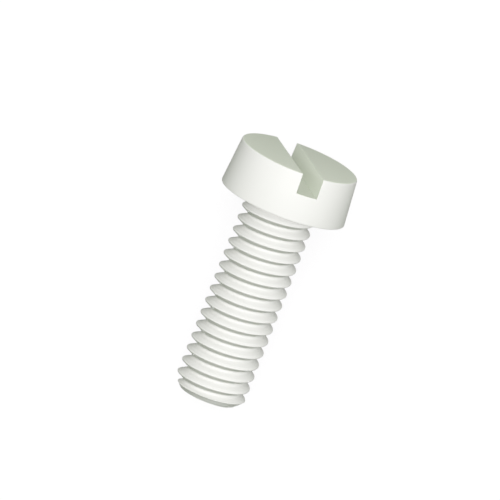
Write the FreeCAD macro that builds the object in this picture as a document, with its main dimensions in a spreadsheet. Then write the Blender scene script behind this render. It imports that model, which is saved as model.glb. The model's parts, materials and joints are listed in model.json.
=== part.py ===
import FreeCAD, Part
import os
import Sketcher
from FreeCAD import Vector

# Slotted cheese head screw, moulded in one piece from white nylon.
# In its body the screw stands upright: the bearing face under the head lies at Z 0, the head
# is above it, the threaded shank hangs below it, and the driver slot runs along X.
# The body's placement then lays the screw on the floor, where it rests on the rim of its
# head and on the last thread crest before the tip, with its head towards +X.
# All lengths are in millimetres and all angles in degrees.

OUT_FOLDER = "parts"

# The driving dimensions: name in the sheet, value, and what it measures.
SIZES = [
    ("head_diameter", 7.0, "widest diameter of the head, at its bearing face"),
    ("head_height", 2.6, "bearing face to flat top"),
    ("head_taper", 5.0, "lean of the head's side, which narrows towards the top"),
    ("top_edge_radius", 0.1, "rounding of the edge round the flat top"),
    ("rim_chamfer", 0.05, "broken edge round the bearing face"),
    ("slot_width", 1.2, "driver slot, wall to wall"),
    ("slot_depth", 1.1, "driver slot, flat top to slot floor"),
    ("thread_diameter", 4.0, "over the crests"),
    ("thread_pitch", 0.7, "crest to crest, single start, right hand"),
    ("flank_slope", 30.0, "each flank to a plane square to the axis"),
    ("crest_width", 0.0875, "flat on top of the thread, an eighth of the pitch"),
    ("root_width", 0.117, "flat at the bottom of the groove, a sixth of the pitch"),
    ("neck_length", 0.25, "plain neck between the bearing face and the thread"),
    ("neck_radius", 0.2, "fillet between the neck and the bearing face"),
    ("shank_length", 11.4, "bearing face to tip"),
    ("tip_chamfer", 0.42, "chamfer round the tip, at 45 degrees"),
    ("first_crest", 0.652, "bearing face to the first crest, in line with the slot"),
    ("slot_lean", 18.4, "lean of the slot from upright, as the screw lies"),
]

# Lengths and places that follow from the sheet, as formulas that the features share.

# The shank's blank reaches half way into the solid web of the head, below the slot. The
# groove is cut over the whole blank, and the head and its neck then close round the blank's
# end, so the thread runs right up to the neck.
BLANK_TOP = "(Sizes.head_height - Sizes.slot_depth) / 2"
THREAD_RADIUS = "Sizes.thread_diameter / 2"
HEAD_RADIUS = "Sizes.head_diameter / 2"
HEAD_TOP_RADIUS = f"{HEAD_RADIUS} - Sizes.head_height * tan(Sizes.head_taper * 1deg)"

# The groove's cutter stands out past the crests, by less than would join one turn to the
# next. Its bottom lies at ROOT_RADIUS, where the two flanks have closed in to its width.
CUTTER_RADIUS = f"{THREAD_RADIUS} + Sizes.crest_width * 0.4"
ROOT_RADIUS = (
    f"{THREAD_RADIUS} - (Sizes.thread_pitch - Sizes.crest_width - Sizes.root_width) / 2"
    " / tan(Sizes.flank_slope * 1deg)"
)
ROOT_HALF_WIDTH = "Sizes.root_width / 2"
CUTTER_HALF_WIDTH = (
    f"({ROOT_HALF_WIDTH} + ({CUTTER_RADIUS} - ({ROOT_RADIUS}))"
    " * tan(Sizes.flank_slope * 1deg))"
)

# The cutter starts clear above the blank, whole turns above the groove beside the first
# crest, and ends a pitch below the tip.
TURNS_ABOVE = f"ceil(({BLANK_TOP} + Sizes.first_crest) / Sizes.thread_pitch)"
CUTTER_TOP = f"Sizes.thread_pitch * ({TURNS_ABOVE} + 0.5) - Sizes.first_crest"
CUTTER_TRAVEL = f"{CUTTER_TOP} + Sizes.shank_length + Sizes.thread_pitch"

# How far below the bearing face the thread touches the floor, on the side of the screw
# that faces the floor: the far edge of the last crest there, or the start of the chamfer.
FLOOR_CREST = (
    "(Sizes.first_crest - Sizes.thread_pitch * (180 - Sizes.slot_lean) / 360)"
)
CHAMFER_START = "(Sizes.shank_length - Sizes.tip_chamfer)"
CRESTS_BEYOND = (
    f"floor(({CHAMFER_START} - {FLOOR_CREST} + Sizes.crest_width / 2)"
    " / Sizes.thread_pitch)"
)
FLOOR_CONTACT = (
    f"min({FLOOR_CREST} + Sizes.thread_pitch * {CRESTS_BEYOND}"
    f" + Sizes.crest_width / 2; {CHAMFER_START})"
)

# The head touches the floor where its side meets the broken edge of its rim.
RIM_RADIUS = f"({HEAD_RADIUS} - Sizes.rim_chamfer * tan(Sizes.head_taper * 1deg))"

# The screw's axis climbs towards the head by this angle, so that both places touch.
CLIMB = (
    f"atan(({RIM_RADIUS} - {THREAD_RADIUS}) / ({FLOOR_CONTACT} + Sizes.rim_chamfer))"
)


def make_sheet(document):
    """Add the sheet that drives the screw, with one row for each dimension."""
    sheet = document.addObject("Spreadsheet::Sheet", "Sizes")
    for row, (name, value, note) in enumerate(SIZES, start=1):
        sheet.set(f"A{row}", name)
        sheet.set(f"B{row}", str(value))
        sheet.set(f"C{row}", note)
        sheet.setAlias(f"B{row}", name)
    document.recompute()


def value_of(document, formula):
    """The present value of a formula in the sheet's sizes."""
    return float(document.getObject("Sizes").evalExpression(formula))


def add_sketch(body, name, plane_role):
    """An empty sketch on one of the body's own origin planes."""
    plane = next(f for f in body.Origin.OriginFeatures if f.Role == plane_role)
    sketch = body.newObject("Sketcher::SketchObject", name)
    sketch.AttachmentSupport = [(plane, "")]
    sketch.MapMode = "FlatFace"
    return sketch


def hold(sketch, direction, edge, end, formula):
    """Hold one end of an edge at its distance from the sketch's origin."""
    place = value_of(sketch.Document, formula)
    ends = (-1, 1, edge, end) if place >= 0 else (edge, end, -1, 1)
    sign = "" if place >= 0 else "-1 * "
    index = sketch.addConstraint(Sketcher.Constraint(direction, *ends, abs(place)))
    sketch.setExpression(f"Constraints[{index}]", f"{sign}({formula})")


def draw_outline(sketch, corners):
    """A closed outline of straight edges, each corner held by two formulas."""
    places = [
        Vector(value_of(sketch.Document, across), value_of(sketch.Document, up), 0)
        for across, up in corners
    ]
    for start, end in zip(places, places[1:] + places[:1]):
        sketch.addGeometry(Part.LineSegment(start, end), False)
    for edge, (across, up) in enumerate(corners):
        before = (edge - 1) % len(corners)
        sketch.addConstraint(Sketcher.Constraint("Coincident", before, 2, edge, 1))
        hold(sketch, "DistanceX", edge, 1, across)
        hold(sketch, "DistanceY", edge, 1, up)


def revolve(body, name, sketch):
    """A full turn of the sketch about the screw's axis."""
    feature = body.newObject("PartDesign::Revolution", name)
    feature.Profile = sketch
    feature.ReferenceAxis = (sketch, ["V_Axis"])
    feature.Angle = 360
    feature.Refine = False


def add_shank(body):
    """The plain blank that the thread is cut in, with the chamfer round its tip."""
    outline = add_sketch(body, "ShankOutline", "XZ_Plane")
    draw_outline(
        outline,
        [
            ("0", BLANK_TOP),
            (THREAD_RADIUS, BLANK_TOP),
            (THREAD_RADIUS, f"-1 * {CHAMFER_START}"),
            (f"{THREAD_RADIUS} - Sizes.tip_chamfer", "-1 * Sizes.shank_length"),
            ("0", "-1 * Sizes.shank_length"),
        ],
    )
    revolve(body, "Shank", outline)


def add_thread(body):
    """The thread: one groove with sloping flanks and a flat bottom, cut along a helix."""
    outline = add_sketch(body, "GrooveOutline", "XZ_Plane")
    draw_outline(
        outline,
        [
            (ROOT_RADIUS, f"{CUTTER_TOP} - {ROOT_HALF_WIDTH}"),
            (CUTTER_RADIUS, f"{CUTTER_TOP} - {CUTTER_HALF_WIDTH}"),
            (CUTTER_RADIUS, f"{CUTTER_TOP} + {CUTTER_HALF_WIDTH}"),
            (ROOT_RADIUS, f"{CUTTER_TOP} + {ROOT_HALF_WIDTH}"),
        ],
    )
    groove = body.newObject("PartDesign::SubtractiveHelix", "ThreadGroove")
    groove.Profile = outline
    groove.ReferenceAxis = (outline, ["V_Axis"])
    groove.Mode = "pitch-height-angle"
    groove.Refine = False
    groove.Reversed = True
    groove.LeftHanded = False
    groove.setExpression("Pitch", "Sizes.thread_pitch")
    groove.setExpression("Height", CUTTER_TRAVEL)


def add_head(body):
    """The head and its short neck, which close round the end of the thread."""
    outline = add_sketch(body, "HeadOutline", "XZ_Plane")
    draw_outline(
        outline,
        [
            ("0", "-1 * Sizes.neck_length"),
            (THREAD_RADIUS, "-1 * Sizes.neck_length"),
            (THREAD_RADIUS, "0"),
            (f"{HEAD_RADIUS} - Sizes.rim_chamfer", "0"),
            (RIM_RADIUS, "Sizes.rim_chamfer"),
            (HEAD_TOP_RADIUS, "Sizes.head_height"),
            ("0", "Sizes.head_height"),
        ],
    )
    revolve(body, "Head", outline)


def round_edge(body, name, height, radius, pick=max):
    """Round the widest, or with min the narrowest, circular edge at one height."""
    base = body.Tip
    level = value_of(body.Document, height)
    found = [
        (edge.Curve.Radius, f"Edge{number}")
        for number, edge in enumerate(base.Shape.Edges, start=1)
        if isinstance(edge.Curve, Part.Circle)
        and abs(edge.Curve.Center.z - level) < 1e-6
    ]
    fillet = body.newObject("PartDesign::Fillet", name)
    fillet.Base = (base, [pick(found)[1]])
    fillet.Refine = False
    fillet.setExpression("Radius", radius)
    body.Document.recompute()


def add_slot(body):
    """The driver slot, cut straight across the flat top along X."""
    half_width = "Sizes.slot_width / 2"
    floor_height = "Sizes.head_height - Sizes.slot_depth"
    above_top = "Sizes.head_height + Sizes.slot_depth"
    outline = add_sketch(body, "SlotOutline", "YZ_Plane")
    draw_outline(
        outline,
        [
            (f"-1 * {half_width}", floor_height),
            (half_width, floor_height),
            (half_width, above_top),
            (f"-1 * {half_width}", above_top),
        ],
    )
    slot = body.newObject("PartDesign::Pocket", "Slot")
    slot.Profile = outline
    slot.SideType = "Symmetric"
    slot.Refine = False
    slot.setExpression("Length", "Sizes.head_diameter * 2")


def lay_down(body):
    """Lay the screw on the floor, the middle of its length above the origin."""
    middle = "(Sizes.shank_length - Sizes.head_height) / 2"
    height = f"{THREAD_RADIUS} * cos({CLIMB}) + {FLOOR_CONTACT} * sin({CLIMB})"
    turn = f"rotationy(90deg - {CLIMB}) * rotationz(180deg + Sizes.slot_lean * 1deg)"
    place = f"vector({middle} * cos({CLIMB}); 0; {height})"
    body.setExpression("Placement", f"placement({place}; {turn})")


def check_features(document):
    """Stop if a feature failed, or if the screw isn't one valid solid."""
    for item in document.Objects:
        if "Invalid" in item.State or "Error" in item.State:
            raise RuntimeError(f"{item.Name} failed: {item.State}")
    for body in document.findObjects("PartDesign::Body"):
        shape = body.Shape
        if shape.isNull() or not shape.isValid() or len(shape.Solids) != 1:
            raise RuntimeError(f"{body.Label} isn't one valid solid")


def build_screw(document):
    """The whole screw, upright in its body and then laid down."""
    body = document.addObject("PartDesign::Body", "Screw")
    body.Label = "screw"
    add_shank(body)
    document.recompute()
    blank_volume = body.Shape.Volume
    add_thread(body)
    document.recompute()
    if body.Shape.Volume >= blank_volume:
        raise RuntimeError("the thread's groove cut nothing")
    add_head(body)
    document.recompute()
    round_edge(body, "TopEdge", "Sizes.head_height", "Sizes.top_edge_radius")
    round_edge(body, "NeckEdge", "0", "Sizes.neck_radius", pick=min)
    solid_volume = body.Shape.Volume
    add_slot(body)
    document.recompute()
    if body.Shape.Volume >= solid_volume:
        raise RuntimeError("the slot cut nothing")
    lay_down(body)
    document.recompute()
    return body


screw_document = FreeCAD.newDocument("SlottedScrew")
make_sheet(screw_document)
screw = build_screw(screw_document)
check_features(screw_document)
os.makedirs(OUT_FOLDER, exist_ok=True)
screw.Shape.exportStep(os.path.join(OUT_FOLDER, f"{screw.Label}.step"))
bounds = screw.Shape.optimalBoundingBox()
print(f"{screw.Label}: {screw.Shape.Volume:.2f} cubic mm, {len(screw.Shape.Faces)} faces")
print(f"lies in X {bounds.XMin:.3f} to {bounds.XMax:.3f}, Y {bounds.YMin:.3f} to "
      f"{bounds.YMax:.3f}, Z {bounds.ZMin:.3f} to {bounds.ZMax:.3f}")
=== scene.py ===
# %% [markdown]
# # A slotted nylon screw
#
# The object is a small machine screw, moulded in one piece from natural white nylon: a tall
# round head with a straight driver slot, and a shank that is threaded from the tip right up
# to the head. It lies on a pale floor, and the camera looks down on it. The lesson models
# the screw as a workshop would explain it: the thread is a profile wound round an axis, the
# head is a turned blank, and the slot is milled out of it.

# %% Load the frame
import json
import math

import bmesh
import bpy
from mathutils import Matrix, Vector


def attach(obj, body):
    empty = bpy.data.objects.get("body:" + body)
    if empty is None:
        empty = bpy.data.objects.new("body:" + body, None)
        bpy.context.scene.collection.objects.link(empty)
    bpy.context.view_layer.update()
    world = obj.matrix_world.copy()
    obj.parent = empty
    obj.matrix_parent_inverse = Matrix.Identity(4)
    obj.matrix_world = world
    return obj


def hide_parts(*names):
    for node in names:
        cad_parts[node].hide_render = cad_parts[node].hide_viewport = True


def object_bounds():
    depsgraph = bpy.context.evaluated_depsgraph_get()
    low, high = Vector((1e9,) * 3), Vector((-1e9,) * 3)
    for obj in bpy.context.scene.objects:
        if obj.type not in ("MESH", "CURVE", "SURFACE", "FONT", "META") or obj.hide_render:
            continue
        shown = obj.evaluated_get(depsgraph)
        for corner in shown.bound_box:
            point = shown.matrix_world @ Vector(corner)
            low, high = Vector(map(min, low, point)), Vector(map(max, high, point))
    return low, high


# The frame is in metres, and sizes are written in millimetres.
MM = 0.001

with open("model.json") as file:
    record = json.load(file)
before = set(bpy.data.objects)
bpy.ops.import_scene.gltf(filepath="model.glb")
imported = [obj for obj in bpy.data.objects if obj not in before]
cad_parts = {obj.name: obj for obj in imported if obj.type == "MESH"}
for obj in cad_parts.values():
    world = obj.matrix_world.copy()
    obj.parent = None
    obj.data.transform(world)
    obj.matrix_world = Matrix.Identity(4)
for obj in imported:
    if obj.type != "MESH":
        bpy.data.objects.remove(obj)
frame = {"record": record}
cad_low, cad_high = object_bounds()
print("CAD box in mm:", [round(c / MM, 2) for c in (*cad_low, *cad_high)])

# %% [markdown]
# ## Sizes
#
# The proportions are those of a standard M4 cheese head screw. All lengths here are in
# millimetres, and the screw is modelled upright, one Blender unit to the millimetre, with
# the bearing face under its head at height 0. Blender's operators weld and clean up with
# tolerances that suit such a size better than an object a few thousandths of a unit wide.
# The finished mesh is scaled to metres at the end, when it is laid down.

# %% Sizes of the screw
HEAD_RADIUS = 3.5
HEAD_HEIGHT = 2.6
SLOT_DEPTH = 1.1
THREAD_RADIUS = 2.0
PITCH = 0.7
SHANK_LENGTH = 11.4

# Points and heights that are closer than this count as the same.
TOUCHING = 1e-4
print("whole screw:", HEAD_HEIGHT + SHANK_LENGTH, "mm long")

# %% [markdown]
# ## Small helpers
#
# Operators act on what is selected, so each step starts from nothing selected and picks its
# vertices, edges or faces in code, by where their middle lies. These helpers do that
# picking, enter and leave edit mode, and apply a modifier as the Apply button would.

# %% Helpers for selecting
def only(piece):
    """Makes one object the only selected one, and the active one."""
    bpy.ops.object.select_all(action="DESELECT")
    piece.select_set(True)
    bpy.context.view_layer.objects.active = piece


def edit(piece, kind, select="DESELECT"):
    """Opens an object in edit mode for VERT, EDGE or FACE, with nothing or all selected."""
    only(piece)
    bpy.ops.object.mode_set(mode="EDIT")
    bpy.ops.mesh.select_mode(type=kind)
    bpy.ops.mesh.select_all(action=select)


def pick(piece, kind, wanted):
    """Selects the vertices, edges or faces whose middle passes the test, and counts them."""
    edit(piece, kind)
    mesh = bmesh.from_edit_mesh(piece.data)
    count = 0
    for item in {"VERT": mesh.verts, "EDGE": mesh.edges, "FACE": mesh.faces}[kind]:
        points = [item.co] if kind == "VERT" else [corner.co for corner in item.verts]
        if wanted(sum(points, Vector()) / len(points)):
            item.select_set(True)
            count += 1
    bmesh.update_edit_mesh(piece.data)
    return count


def done():
    """Leaves edit mode."""
    bpy.ops.object.mode_set(mode="OBJECT")


# %% Helpers for modifiers
def apply_all(piece):
    """Applies every modifier on an object, in order."""
    only(piece)
    for modifier in list(piece.modifiers):
        bpy.ops.object.modifier_apply(modifier=modifier.name)


def carve(piece, operation, other):
    """Joins, cuts or trims one solid with another, which is used up."""
    modifier = piece.modifiers.new(operation.lower(), "BOOLEAN")
    modifier.operation = operation
    modifier.solver = "EXACT"
    modifier.object = other
    apply_all(piece)
    bpy.data.objects.remove(other)
    print(operation.lower(), "leaves", piece.name, "with", len(piece.data.polygons), "faces")


# %% [markdown]
# ## The thread's profile
#
# A thread is one ridge that climbs round the shank like a staircase. It could be a stack of
# rings, but rings don't climb, and at the silhouette the eye sees that at once. So one pitch
# of its profile is drawn as a wire: a small plane is merged into a single vertex, which is
# then extruded along half the root, up a flank, over the crest and back down. The flanks of a
# metric thread stand at 60 degrees to each other, and with the widths of crest and root that
# gives the depth of the thread.

# %% Sizes of the thread
FLANK_SLOPE = math.radians(30)
CREST_WIDTH = 0.0875
ROOT_WIDTH = 0.117
FIRST_CREST = 0.652
FLANK_RISE = (PITCH - CREST_WIDTH - ROOT_WIDTH) / 2
THREAD_DEPTH = FLANK_RISE / math.tan(FLANK_SLOPE)
ROOT_RADIUS = THREAD_RADIUS - THREAD_DEPTH
print("thread depth", round(THREAD_DEPTH, 3), "mm, root radius", round(ROOT_RADIUS, 3), "mm")

# %% Draw one pitch of the profile
turns_below = math.ceil((SHANK_LENGTH + PITCH / 2 - FIRST_CREST) / PITCH)
profile_start = -FIRST_CREST - PITCH * (turns_below + 0.5)

bpy.ops.object.select_all(action="DESELECT")
bpy.ops.mesh.primitive_plane_add(size=0.1, location=(0, 0, 0))
thread = bpy.context.object
thread.name = "thread"
bpy.ops.object.mode_set(mode="EDIT")
bpy.ops.mesh.merge(type="CENTER")
bpy.ops.transform.translate(value=(ROOT_RADIUS, 0, profile_start))
for step in (
    (0, 0, ROOT_WIDTH / 2),
    (THREAD_DEPTH, 0, FLANK_RISE),
    (0, 0, CREST_WIDTH),
    (-THREAD_DEPTH, 0, FLANK_RISE),
    (0, 0, ROOT_WIDTH / 2),
):
    bpy.ops.mesh.extrude_region_move(TRANSFORM_OT_translate={"value": step})
done()
print("profile:", len(thread.data.vertices), "vertices, starts at", round(profile_start, 3))

# %% [markdown]
# Melted plastic never quite fills the sharpest corners of a mould, and the mould's own
# grooves are ground with a rounded wheel. A vertex bevel rounds the wire's corners before it
# is wound: the crest until hardly any of its flat is left, and the root a little.

# %% Round the profile's corners
CREST_ROUNDING = 0.04
ROOT_ROUNDING = 0.035


def on_crest(p):
    """True for the two corners at the crest."""
    return p.x > THREAD_RADIUS - TOUCHING


def in_root(p):
    """True for the two corners at the root, without the wire's own ends."""
    inside = TOUCHING < p.z - profile_start < PITCH - TOUCHING
    return inside and p.x < ROOT_RADIUS + TOUCHING


for corners, rounding, segments in ((on_crest, CREST_ROUNDING, 4), (in_root, ROOT_ROUNDING, 2)):
    count = pick(thread, "VERT", corners)
    bpy.ops.mesh.bevel(offset=rounding, segments=segments, affect="VERTICES")
    done()
    print("rounded", count, "corners of the profile by", rounding, "mm")

# %% [markdown]
# ## Wind the thread
#
# The Screw modifier winds the profile round the axis and lifts it by one pitch each turn,
# which gives a right-hand thread. Neighbouring turns only touch, so their shared edges are
# welded. The tube is then bisected flat at both ends, once inside where the head will be and
# once just below the tip, and each cut is filled.

# %% Wind the profile
STEPS_A_TURN = 72
thread_top = (HEAD_HEIGHT - SLOT_DEPTH) / 2

winding = thread.modifiers.new("winding", "SCREW")
winding.axis = "Z"
winding.angle = math.tau
winding.screw_offset = PITCH
winding.iterations = math.ceil((thread_top - profile_start) / PITCH) + 1
winding.steps = STEPS_A_TURN
winding.render_steps = STEPS_A_TURN
print("turns wound:", winding.iterations)
apply_all(thread)

# %% Weld the turns and close the ends
thread_bottom = -SHANK_LENGTH - PITCH / 4

edit(thread, "VERT", "SELECT")
bpy.ops.mesh.remove_doubles(threshold=TOUCHING)
for height, keep_above in ((thread_top, False), (thread_bottom, True)):
    bpy.ops.mesh.select_all(action="SELECT")
    bpy.ops.mesh.bisect(
        plane_co=(0, 0, height),
        plane_no=(0, 0, 1),
        use_fill=True,
        clear_inner=keep_above,
        clear_outer=not keep_above,
    )
bpy.ops.mesh.select_all(action="SELECT")
bpy.ops.mesh.normals_make_consistent(inside=False)
done()
print("thread:", len(thread.data.vertices), "vertices")

# %% [markdown]
# ## The tip
#
# The mould gives the tip a small chamfer, so that the screw starts easily in its nut. The
# chamfer cuts across the thread, which has no edge of its own there to bevel. So a plain
# cylinder with a bevelled lower edge stands for the inside of the mould, and the thread is
# trimmed to what lies within it.

# %% Trim the tip
ROUND_SIDES = 144
TIP_CHAMFER = 0.42
MOULD_GAP = 0.5
mould_height = SHANK_LENGTH + HEAD_HEIGHT

bpy.ops.object.select_all(action="DESELECT")
bpy.ops.mesh.primitive_cylinder_add(
    vertices=ROUND_SIDES,
    radius=THREAD_RADIUS + MOULD_GAP,
    depth=mould_height,
    location=(0, 0, mould_height / 2 - SHANK_LENGTH),
)
bpy.ops.object.transform_apply(location=True, rotation=True, scale=True)
mould = bpy.context.object
pick(mould, "EDGE", lambda p: p.z < -SHANK_LENGTH + TOUCHING)
bpy.ops.mesh.bevel(offset=MOULD_GAP + TIP_CHAMFER, segments=1, affect="EDGES")
done()
carve(thread, "INTERSECT", mould)

# %% [markdown]
# ## The head
#
# The head is a short cylinder whose side leans inwards by five degrees, so that it lets go
# of the mould. It starts as a cylinder primitive. Its top face is shrunk for the taper, and
# its lower face is inset and pushed down to make the short neck that the thread runs up to.
# The neck is a hair wider than the thread, so that no face of one lies in a face of the other
# when the two are joined.

# %% Model the head's blank
HEAD_TAPER = math.radians(5)
HEAD_TOP_RADIUS = HEAD_RADIUS - HEAD_HEIGHT * math.tan(HEAD_TAPER)
NECK_LENGTH = 0.25
NECK_MARGIN = 0.004
NECK_RADIUS = THREAD_RADIUS + NECK_MARGIN

bpy.ops.object.select_all(action="DESELECT")
bpy.ops.mesh.primitive_cylinder_add(
    vertices=ROUND_SIDES,
    radius=HEAD_RADIUS,
    depth=HEAD_HEIGHT,
    location=(0, 0, HEAD_HEIGHT / 2),
)
bpy.ops.object.transform_apply(location=True, rotation=True, scale=True)
head = bpy.context.object
head.name = "head"

pick(head, "FACE", lambda p: p.z > HEAD_HEIGHT - TOUCHING)
shrink = HEAD_TOP_RADIUS / HEAD_RADIUS
bpy.ops.transform.resize(value=(shrink, shrink, 1), center_override=(0, 0, 0))
done()
print("head's blank: top radius", round(HEAD_TOP_RADIUS, 3), "mm")

# %% Draw out the neck
pick(head, "FACE", lambda p: p.z < TOUCHING)
bpy.ops.mesh.inset(thickness=HEAD_RADIUS - NECK_RADIUS)
bpy.ops.mesh.extrude_region_move(TRANSFORM_OT_translate={"value": (0, 0, -NECK_LENGTH)})
done()
print("head:", len(head.data.polygons), "faces, neck radius", NECK_RADIUS, "mm")

# %% [markdown]
# Three rings of edges are then bevelled round. The top edge is soft enough to show a line of
# light, the rim below is only broken, and the inner corner between the neck and the bearing
# face gets a fillet, because a sharp one is where an overtightened head would tear off. Each
# ring is found by its height and by its distance from the axis. The middle of a straight edge
# lies a little inside the circle, so the test leaves room for that.

# %% Round the head's edges
TOP_EDGE_RADIUS = 0.1
RIM_EDGE_RADIUS = 0.05
NECK_FILLET = 0.2
RING_ROOM = 0.01


def on_ring(radius, height):
    """A test for the middles of edges on a circle round the axis at one height."""
    return lambda p: (
        abs(math.hypot(p.x, p.y) - radius) < RING_ROOM and abs(p.z - height) < TOUCHING
    )


for radius, height, rounding, segments in (
    (HEAD_TOP_RADIUS, HEAD_HEIGHT, TOP_EDGE_RADIUS, 5),
    (HEAD_RADIUS, 0, RIM_EDGE_RADIUS, 3),
    (NECK_RADIUS, 0, NECK_FILLET, 6),
):
    count = pick(head, "EDGE", on_ring(radius, height))
    bpy.ops.mesh.bevel(offset=rounding, segments=segments, affect="EDGES")
    done()
    print("rounded a ring of", count, "edges by", rounding, "mm")

# %% [markdown]
# ## The driver slot
#
# The slot is a straight channel with square walls. It is cut from the head with a box, in
# one stroke like a milling cutter's, and the box is long enough to leave through the side
# at both ends. The edges round the walls are then broken by a hundredth of a millimetre,
# because no moulded edge is perfectly sharp.

# %% Cut the slot
SLOT_WIDTH = 1.2
CUTTER_LENGTH = HEAD_RADIUS * 3
slot_floor = HEAD_HEIGHT - SLOT_DEPTH

bpy.ops.object.select_all(action="DESELECT")
bpy.ops.mesh.primitive_cube_add(
    size=1,
    location=(0, 0, slot_floor + SLOT_DEPTH),
    scale=(CUTTER_LENGTH, SLOT_WIDTH, SLOT_DEPTH * 2),
)
bpy.ops.object.transform_apply(location=True, rotation=True, scale=True)
carve(head, "DIFFERENCE", bpy.context.object)
print("slot:", SLOT_WIDTH, "mm wide, floor at height", slot_floor)

# %% Break the slot's edges
SLOT_EDGE = 0.01


def round_a_wall(p):
    """True for the middle of an edge of either wall, but not where it meets the floor."""
    return abs(abs(p.y) - SLOT_WIDTH / 2) < TOUCHING and p.z > slot_floor + TOUCHING


count = pick(head, "EDGE", round_a_wall)
bpy.ops.mesh.bevel(offset=SLOT_EDGE, segments=2, affect="EDGES", clamp_overlap=True)
done()
print("broke", count, "edges of the slot")

# %% [markdown]
# ## One piece
#
# The real screw has no seam between head and shank, so the two solids are joined into one
# mesh, and the few points that the joint leaves almost on top of each other are welded. A
# closed mesh has exactly two faces at every edge, and its volume comes out positive only if
# its faces point outwards. Both are measured here.

# %% Join the head and the thread
WELD_DISTANCE = 1e-5

screw = thread
carve(screw, "UNION", head)
screw.name = screw.data.name = "nylon_screw"
edit(screw, "VERT", "SELECT")
bpy.ops.mesh.remove_doubles(threshold=WELD_DISTANCE)
bpy.ops.mesh.normals_make_consistent(inside=False)
done()

# %% Measure the finished solid
mesh = bmesh.new()
mesh.from_mesh(screw.data)
open_edges = sum(not edge.is_manifold for edge in mesh.edges)
volume = mesh.calc_volume(signed=True)
mesh.free()
print("screw:", len(screw.data.polygons), "faces,", open_edges, "open edges,",
      round(volume, 2), "cubic mm")

# %% [markdown]
# ## Lay the screw down
#
# The frame's mounts say where the screw lies: the driver slot's mount is on the axis, at the
# floor of the slot, and points out of the head. Together with the lean of the slot from
# upright that fixes how it is turned. The place goes into the mesh itself, so the object
# stays at the origin, unturned and unscaled. Faces that meet at less than 35 degrees are then
# shaded as one smooth surface, and all other edges stay crisp.

# %% Find where the screw lies
SLOT_LEAN = math.radians(18.4)

mounts = {mount["name"]: mount for mount in frame["record"]["mounts"]}
axis = Vector(mounts["driver_slot"]["axis"]).normalized()
bearing_centre = Vector(mounts["driver_slot"]["pos_m"]) - axis * slot_floor * MM
upright = (Vector((0, 0, 1)) - axis * axis.z).normalized()
slot_direction = upright * math.cos(SLOT_LEAN) + axis.cross(upright) * math.sin(SLOT_LEAN)
turn = Matrix((slot_direction, axis.cross(slot_direction), axis)).transposed().to_4x4()
print("bearing face's centre in mm:", [round(c / MM, 3) for c in bearing_centre])

# %% Place the mesh
SMOOTH_ANGLE = math.radians(35)

screw.matrix_world = Matrix.Translation(bearing_centre) @ turn @ Matrix.Scale(MM, 4)
only(screw)
bpy.ops.object.transform_apply(location=True, rotation=True, scale=True)
bpy.ops.object.shade_smooth_by_angle(angle=SMOOTH_ANGLE)
for name, end in (("lowest", min), ("highest", max)):
    corner = [end(vertex.co[i] for vertex in screw.data.vertices) for i in range(3)]
    print("screw's", name, "corner in mm:", [round(c / MM, 3) for c in corner])

# %% [markdown]
# ## Moulded nylon
#
# The screw is natural nylon 6.6, injection moulded in a lightly etched mould and with no
# pigment. To the eye that is a soft, slightly creamy white, matt enough that a lamp leaves
# no spot on it, and a touch cloudy where the melt crystallised slower. Glossy white plastic
# with a clear coat would look like a button, so the surface stays rough, with a weak gloss.
#
# Each node is added by one small function that also sets and links it. The patterns read
# Object coordinates, which are metres on the screw itself, so they keep their real size and
# stay in their place from whatever side it is seen.

# %% Helpers for materials
def linear(hex_colour):
    """An sRGB hex colour as linear red, green and blue, with full alpha."""
    parts = [int(hex_colour[i : i + 2], 16) / 255 for i in (1, 3, 5)]
    return [p / 12.92 if p <= 0.04045 else ((p + 0.055) / 1.055) ** 2.4 for p in parts] + [1]


def add_node(tree, kind, settings=None, links=None):
    """Adds a node, sets its properties or sockets, and links outputs to its inputs."""
    node = tree.nodes.new(kind)
    for name, value in (settings or {}).items():
        if isinstance(name, str) and hasattr(node, name):
            setattr(node, name, value)
        else:
            node.inputs[name].default_value = value
    for name, output in (links or {}).items():
        tree.links.new(output, node.inputs[name])
    return node


def new_material(name):
    """A material with an empty node tree."""
    material = bpy.data.materials.new(name)
    material.use_nodes = True
    material.node_tree.nodes.clear()
    return material, material.node_tree


# %% [markdown]
# Two noise patterns cover the whole screw. Clouds of a few millimetres shift the white by a
# shade. The mould's etched grain, which is really about 0.03 mm, is drawn nearly four times as
# coarse, so that it just shows.

# %% Cloud the white and add the grain
CLOUD_SIZE = 2.5
GRAIN_SIZE = 0.11
GRAIN_HEIGHT = 0.0005
CLOUDY_WHITE = "#F4F4F0"
CLEAR_WHITE = "#F8F8F5"

# A Mix node has sockets of the same names for numbers and for colours. These are the colours'.
MIX_A, MIX_B, MIX_RESULT = 6, 7, 2

nylon, tree = new_material("moulded_natural_nylon")
place = add_node(tree, "ShaderNodeTexCoord")
clouds = add_node(
    tree,
    "ShaderNodeTexNoise",
    {"Scale": 1 / (CLOUD_SIZE * MM), "Detail": 3},
    {"Vector": place.outputs["Object"]},
)
white = add_node(
    tree,
    "ShaderNodeMix",
    {"data_type": "RGBA", MIX_A: linear(CLOUDY_WHITE), MIX_B: linear(CLEAR_WHITE)},
    {"Factor": clouds.outputs["Fac"]},
)
grain = add_node(
    tree,
    "ShaderNodeTexNoise",
    {"Scale": 1 / (GRAIN_SIZE * MM), "Detail": 2},
    {"Vector": place.outputs["Object"]},
)
etched = add_node(
    tree, "ShaderNodeBump", {"Distance": GRAIN_HEIGHT * MM}, {"Height": grain.outputs["Fac"]}
)
print("clouds of", CLOUD_SIZE, "mm, grain of", GRAIN_SIZE, "mm")

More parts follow.
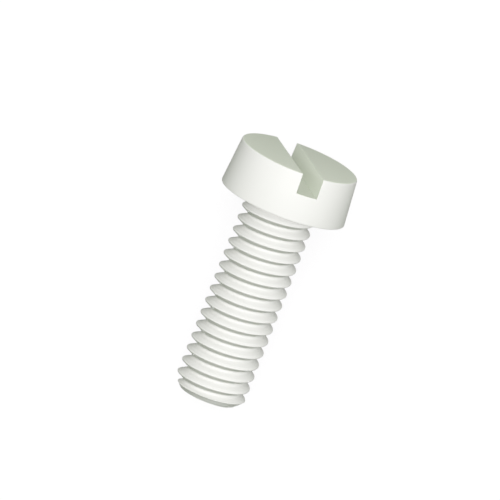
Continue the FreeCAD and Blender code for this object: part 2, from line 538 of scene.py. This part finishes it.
# %% [markdown]
# ## Marks along the thread
#
# The wheel that ground the thread into the mould left fine lines along its way, and the
# plastic copies them. The eye sees a faint streakiness that follows each ridge. Plain
# stripes would cross the ridges instead, so the pattern is laid out as the thread runs. A
# Mapping node stands the screw upright again. Each point then gets its distance from the
# axis, and its height above the slope of the thread, which starts afresh with every turn. A
# noise over these two is the same all the way along the thread, which makes lines, and a
# slow drift lets them fade and come back. The real lines are about 0.02 mm apart and much
# shallower. They are drawn 0.12 mm apart, and deep enough that they just show.

# %% Find each point's distance from the axis
to_upright = (Matrix.Translation(bearing_centre) @ turn).inverted()
stood = add_node(
    tree,
    "ShaderNodeMapping",
    {"Location": to_upright.translation, "Rotation": to_upright.to_euler()},
    {"Vector": place.outputs["Object"]},
)
apart = add_node(tree, "ShaderNodeSeparateXYZ", links={0: stood.outputs[0]})
level = add_node(
    tree, "ShaderNodeVectorMath", {"operation": "MULTIPLY", 1: (1, 1, 0)}, {0: stood.outputs[0]}
)
from_axis = add_node(
    tree, "ShaderNodeVectorMath", {"operation": "LENGTH"}, {0: level.outputs[0]}
)
print("screw's own axes start at", [round(c / MM, 3) for c in bearing_centre], "mm")

# %% Find its height above the thread's slope
angle = add_node(
    tree,
    "ShaderNodeMath",
    {"operation": "ARCTAN2"},
    {0: apart.outputs["Y"], 1: apart.outputs["X"]},
)
unwound = add_node(
    tree,
    "ShaderNodeMath",
    {"operation": "MULTIPLY_ADD", 1: -PITCH * MM / math.tau},
    {0: angle.outputs[0], 2: apart.outputs["Z"]},
)
in_turn = add_node(
    tree,
    "ShaderNodeMath",
    {"operation": "FLOORED_MODULO", 1: PITCH * MM},
    {0: unwound.outputs[0]},
)
print("the marks start afresh every", PITCH, "mm")

# %% Draw the marks
MARK_SPACING = 0.12
MARK_DRIFT = 0.06

drift = add_node(
    tree, "ShaderNodeMath", {"operation": "MULTIPLY", 1: MARK_DRIFT}, {0: apart.outputs["X"]}
)
along_thread = add_node(
    tree,
    "ShaderNodeCombineXYZ",
    links={"X": from_axis.outputs["Value"], "Y": in_turn.outputs[0], "Z": drift.outputs[0]},
)
marks = add_node(
    tree,
    "ShaderNodeTexNoise",
    {"Scale": 1 / (MARK_SPACING * MM), "Detail": 1},
    {"Vector": along_thread.outputs[0]},
)
print("marks", MARK_SPACING, "mm apart")

# %% [markdown]
# The head and the flat end of the tip were made in other parts of the mould and have no such
# lines. So the marks are kept to what lies within the thread's radius, below the head and
# above the tip's end.

# %% Keep the marks on the thread
MARK_MARGIN = 0.01

on_shank = add_node(
    tree,
    "ShaderNodeMath",
    {"operation": "LESS_THAN", 1: (THREAD_RADIUS + MARK_MARGIN) * MM},
    {0: from_axis.outputs["Value"]},
)
below_head = add_node(
    tree, "ShaderNodeMath", {"operation": "LESS_THAN", 1: 0}, {0: apart.outputs["Z"]}
)
above_end = add_node(
    tree,
    "ShaderNodeMath",
    {"operation": "GREATER_THAN", 1: (MARK_MARGIN - SHANK_LENGTH) * MM},
    {0: apart.outputs["Z"]},
)
where = on_shank.outputs[0]
for limit in (below_head, above_end):
    pair = {0: where, 1: limit.outputs[0]}
    where = add_node(tree, "ShaderNodeMath", {"operation": "MULTIPLY"}, pair).outputs[0]
print("marks run over", SHANK_LENGTH, "mm of the screw")

# %% [markdown]
# The flat end of the head and the slot are painted a shade greener than the side of the head. This
# is painted shade, not a colour of the nylon: it stands for the greenish shade on these faces,
# which the lamps above reach only at a slant. So the colour changes there, at the edges of the end
# face and the slot, which are found from a point's height and its distance from the slot's middle.
# Each limit lies a hair behind its face, so that the face itself is wholly inside.

# %% Paint a greenish shade on the end of the head and the slot
# Painted shade: the greenish grey put into the colour of the end face and the slot.
PAINTED_SHADE_GREEN = "#F4F9EB"
END_MARGIN = 0.02
FLOOR_MARGIN = 0.01
WALL_MARGIN = 0.005

on_end = add_node(
    tree,
    "ShaderNodeMath",
    {"operation": "GREATER_THAN", 1: (HEAD_HEIGHT - END_MARGIN) * MM},
    {0: apart.outputs["Z"]},
)
above_floor = add_node(
    tree,
    "ShaderNodeMath",
    {"operation": "GREATER_THAN", 1: (slot_floor - FLOOR_MARGIN) * MM},
    {0: apart.outputs["Z"]},
)
aside = add_node(tree, "ShaderNodeMath", {"operation": "ABSOLUTE"}, {0: apart.outputs["Y"]})
between_walls = add_node(
    tree,
    "ShaderNodeMath",
    {"operation": "LESS_THAN", 1: (SLOT_WIDTH / 2 + WALL_MARGIN) * MM},
    {0: aside.outputs[0]},
)
in_slot = add_node(
    tree,
    "ShaderNodeMath",
    {"operation": "MULTIPLY"},
    {0: above_floor.outputs[0], 1: between_walls.outputs[0]},
)
# Where the painted shade goes: the end face and the inside of the slot.
painted_shade_area = add_node(
    tree,
    "ShaderNodeMath",
    {"operation": "MAXIMUM"},
    {0: on_end.outputs[0], 1: in_slot.outputs[0]},
)
# The painted greenish shade is mixed into the nylon's white here.
shade = add_node(
    tree,
    "ShaderNodeMix",
    {"data_type": "RGBA", MIX_B: linear(PAINTED_SHADE_GREEN)},
    {"Factor": painted_shade_area.outputs[0], MIX_A: white.outputs[MIX_RESULT]},
)
print("greener above", slot_floor, "mm in the slot, and on the end at", HEAD_HEIGHT, "mm")

# %% Finish the nylon
MARK_DEPTH = 0.06

marked = add_node(
    tree,
    "ShaderNodeBump",
    {"Distance": MARK_DEPTH * MM},
    {"Height": marks.outputs["Fac"], "Normal": etched.outputs[0], "Strength": where},
)
plastic = add_node(
    tree,
    "ShaderNodeBsdfPrincipled",
    {"IOR": 1.53, "Roughness": 0.6, "Specular IOR Level": 0.1},
    {"Base Color": shade.outputs[MIX_RESULT], "Normal": marked.outputs["Normal"]},
)
add_node(tree, "ShaderNodeOutputMaterial", links={"Surface": plastic.outputs["BSDF"]})
print("nylon:", len(tree.nodes), "nodes")

# %% Dress the screw and put it in the frame
screw.data.materials.clear()
screw.data.materials.append(nylon)
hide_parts("screw")
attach(screw, "root")
print(screw.name, "wears", screw.data.materials[0].name)

# %% [markdown]
# ## The floor and the backdrop
#
# The screw lies on white paper that runs out of the picture on all sides. Paper this white
# would throw so much light back that the grooves of the thread lose their depth. So the
# paper takes and gives light as a mid grey, and it has the other half of its white from
# itself, but only for rays from the camera, off a gloss or through glass. Its shadow stays.

# %% Helper for what the camera sees
def seen_directly(tree):
    """One for camera, glossy and transmission rays, and nought for all others."""
    path = add_node(tree, "ShaderNodeLightPath")
    seen = path.outputs["Is Camera Ray"]
    for other in ("Is Glossy Ray", "Is Transmission Ray"):
        pair = {0: seen, 1: path.outputs[other]}
        seen = add_node(tree, "ShaderNodeMath", {"operation": "MAXIMUM"}, pair).outputs[0]
    return seen


# %% Lay out the paper
PAPER_SIZE = 2000
PAPER_SHARE = 0.5

bpy.ops.object.select_all(action="DESELECT")
bpy.ops.mesh.primitive_plane_add(size=PAPER_SIZE * MM, location=(0, 0, cad_low.z))
floor = bpy.context.object
floor.name = "floor"

paper, tree = new_material("white_paper")
dull = add_node(tree, "ShaderNodeBsdfDiffuse", {"Color": [PAPER_SHARE] * 3 + [1]})
share = add_node(
    tree, "ShaderNodeMath", {"operation": "MULTIPLY", 1: 1 - PAPER_SHARE}, {0: seen_directly(tree)}
)
glow = add_node(tree, "ShaderNodeEmission", links={"Strength": share.outputs[0]})
shown = add_node(tree, "ShaderNodeAddShader", links={0: dull.outputs[0], 1: glow.outputs[0]})
add_node(tree, "ShaderNodeOutputMaterial", links={"Surface": shown.outputs[0]})
floor.data.materials.append(paper)
print("paper lies at height", round(cad_low.z / MM, 3), "mm")

# %% [markdown]
# ## The room
#
# The room lights the screw evenly from every side, and it shows as white beyond the paper.
# Unpigmented nylon lets some light in, and what comes back out of a groove or a slot looks
# a little green. That is drawn with the room's light, because it is what reaches those
# places most: the room is tinted green, and the lamps a little the other way, so that
# together they are white.

# %% Light the room
FILL_STRENGTH = 0.27
ROOM_TINT = (0.88, 1.0, 0.77, 1)

room = bpy.data.worlds.new("studio")
bpy.context.scene.world = room
room.use_nodes = True
tree = room.node_tree
tree.nodes.clear()
fill = add_node(tree, "ShaderNodeBackground", {"Color": ROOM_TINT, "Strength": FILL_STRENGTH})
backdrop = add_node(tree, "ShaderNodeBackground", {"Color": (1, 1, 1, 1), "Strength": 1})
mix = add_node(
    tree,
    "ShaderNodeMixShader",
    links={0: seen_directly(tree), 1: fill.outputs[0], 2: backdrop.outputs[0]},
)
add_node(tree, "ShaderNodeOutputWorld", links={"Surface": mix.outputs[0]})
print("the room gives a share of", FILL_STRENGTH)

# %% [markdown]
# ## The camera
#
# The camera looks down on the screw, almost square to its axis, and a little from the head's
# side, so that the flat top and the slot show. It is far away with a long lens, as for a
# catalogue picture, so the sides of the shank stay parallel. These directions are worked
# out from the screw's own axis, so the view stays right wherever the screw lies.

# %% Find the camera's directions
VIEW_TO_AXIS = math.radians(76.58)
AXIS_LEAN = math.radians(21.31)

back = axis * math.cos(VIEW_TO_AXIS) + upright * math.sin(VIEW_TO_AXIS)
along = (axis - back * axis.dot(back)).normalized()
beside = along.cross(back)
camera_up = along * math.cos(AXIS_LEAN) - beside * math.sin(AXIS_LEAN)
camera_right = beside * math.cos(AXIS_LEAN) + along * math.sin(AXIS_LEAN)
print("camera looks down at", round(math.degrees(math.asin(back.z)), 1), "degrees")

# %% Place the camera
PIXELS_PER_MM = 18.727
BEARING_PIXEL = (282.94, 202.41)
FRAME_PIXELS = 500
SENSOR_MM = 36

# These three are in metres.
CAMERA_DISTANCE = 0.5
NEAREST_SEEN = 0.01
FARTHEST_SEEN = 10

right = (BEARING_PIXEL[0] - FRAME_PIXELS / 2) / PIXELS_PER_MM * MM
up = (FRAME_PIXELS / 2 - BEARING_PIXEL[1]) / PIXELS_PER_MM * MM
eye = bearing_centre - camera_right * right - camera_up * up + back * CAMERA_DISTANCE

camera = bpy.data.objects.new("camera", bpy.data.cameras.new("camera"))
bpy.context.scene.collection.objects.link(camera)
facing = Matrix((camera_right, camera_up, back)).transposed().to_4x4()
camera.matrix_world = Matrix.Translation(eye) @ facing
camera.data.sensor_width = SENSOR_MM
camera.data.lens = SENSOR_MM * CAMERA_DISTANCE * PIXELS_PER_MM / (FRAME_PIXELS * MM)
camera.data.clip_start = NEAREST_SEEN
camera.data.clip_end = FARTHEST_SEEN
bpy.context.scene.camera = camera
print("lens:", round(camera.data.lens), "mm, from", CAMERA_DISTANCE, "m away")

# %% [markdown]
# ## The lamps
#
# A catalogue picture is lit so evenly that nothing casts a shadow on anything else, and yet
# each groove of the thread is drawn by a dark line. Two lamps above the camera's view give
# both. The main one is a sun that casts no shadow and whose light isn't passed on from wall
# to wall of the grooves, so that a flank which faces away from it stays dark. The second is
# a weak sun as wide as a softbox, with shadows and all its bounces.
#
# Two white panels stand beside the screw and lift the round sides of the head and the shank,
# the right one more than the left. White paper also throws light up from below. The paper of
# this scene gives little of it, so a last, weak lamp stands for the rest. It reaches only
# what faces down or towards the tip's end, where this camera doesn't look, and keeps the
# screw white from other sides. The room fills in the rest.

# %% Hang the lamps
KEY_STRENGTH = 0.72
SOFT_STRENGTH = 0.12
RIGHT_STRENGTH = 0.14
LEFT_STRENGTH = 0.07
PAPER_STRENGTH = 0.26
SUN_WIDTH = math.radians(6)
SOFTBOX_WIDTH = math.radians(50)
KEY_TILT = math.radians(10)
SIDE_ANGLE = math.radians(75)
PAPER_TILT = math.radians(16)
LAMP_TINT = (0.97, 0.935, 1.0)

above = back * math.cos(KEY_TILT) + along * math.sin(KEY_TILT)
right_side = back * math.cos(SIDE_ANGLE) + beside * math.sin(SIDE_ANGLE)
left_side = back * math.cos(SIDE_ANGLE) - beside * math.sin(SIDE_ANGLE)
below = -back * math.cos(PAPER_TILT) - along * math.sin(PAPER_TILT)
for name, strength, width, towards, shadowless in (
    ("key", KEY_STRENGTH, SUN_WIDTH, above, True),
    ("softbox", SOFT_STRENGTH, SOFTBOX_WIDTH, above, False),
    ("right_panel", RIGHT_STRENGTH, SUN_WIDTH, right_side, True),
    ("left_panel", LEFT_STRENGTH, SUN_WIDTH, left_side, True),
    ("light_off_the_paper", PAPER_STRENGTH, SUN_WIDTH, below, True),
):
    lamp = bpy.data.objects.new(name, bpy.data.lights.new(name, "SUN"))
    bpy.context.scene.collection.objects.link(lamp)
    lamp.data.color = LAMP_TINT
    lamp.data.energy = strength * math.pi
    lamp.data.angle = width
    lamp.rotation_euler = towards.to_track_quat("Z", "Y").to_euler()
    if shadowless:
        lamp.data.use_shadow = False
        lamp.data.cycles.max_bounces = 0
    print(name, "gives a share of", strength)
bpy.context.scene.view_settings.view_transform = "Standard"
